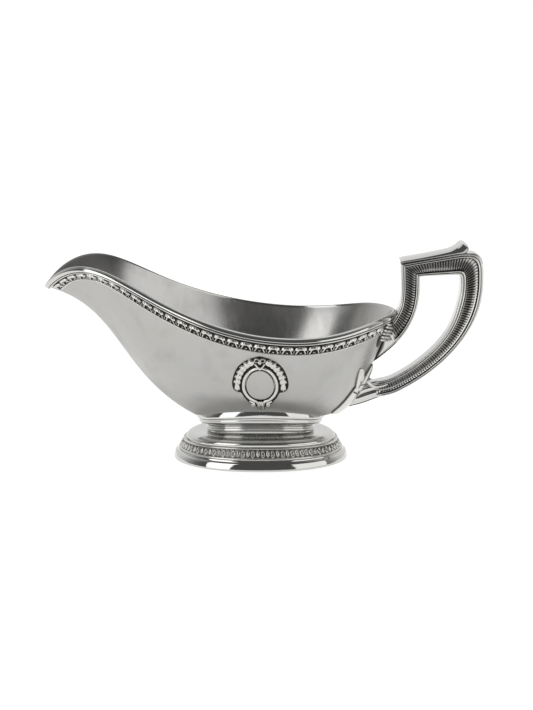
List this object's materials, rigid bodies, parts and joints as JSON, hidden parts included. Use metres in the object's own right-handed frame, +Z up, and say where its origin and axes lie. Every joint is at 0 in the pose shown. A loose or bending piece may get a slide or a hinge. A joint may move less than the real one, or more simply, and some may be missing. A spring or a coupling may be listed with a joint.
{
  "type": "footed sauce boat",
  "caption": "Boat-shaped silver pouring vessel with a long lip, moulded leaf-bordered rim, channelled angular handle with thumb rest, framed oval tablet and stepped hollow oval foot.",
  "frame": {"origin": "On the surface the foot stands on, under the middle of the bounding box of the whole vessel.", "axes": "+Z up, -X towards the tip of the pouring lip, +X towards the handle, -Y out of the side that carries the framed tablet."},
  "size_m": [0.2152, 0.0902, 0.1083],
  "materials": {
    "plain_silver": "polished, with light handling scratches",
    "chased_silver": "polished on the high points, dark tarnish left in the recesses"
  },
  "bodies": {
    "root": {"bowl": "plain_silver", "rim_moulding": "plain_silver", "rim_border_front": "chased_silver", "rim_border_back": "chased_silver", "handle": "plain_silver", "thumb_rest": "plain_silver", "stem_shell_front": "chased_silver", "stem_shell_back": "chased_silver", "handle_lower_leaf": "chased_silver", "tablet": "plain_silver", "tablet_frame": "chased_silver", "foot_collar": "plain_silver", "foot_neck": "plain_silver", "foot_dome": "plain_silver", "foot_border": "chased_silver", "foot_plinth": "plain_silver"}
  },
  "joints": []
}
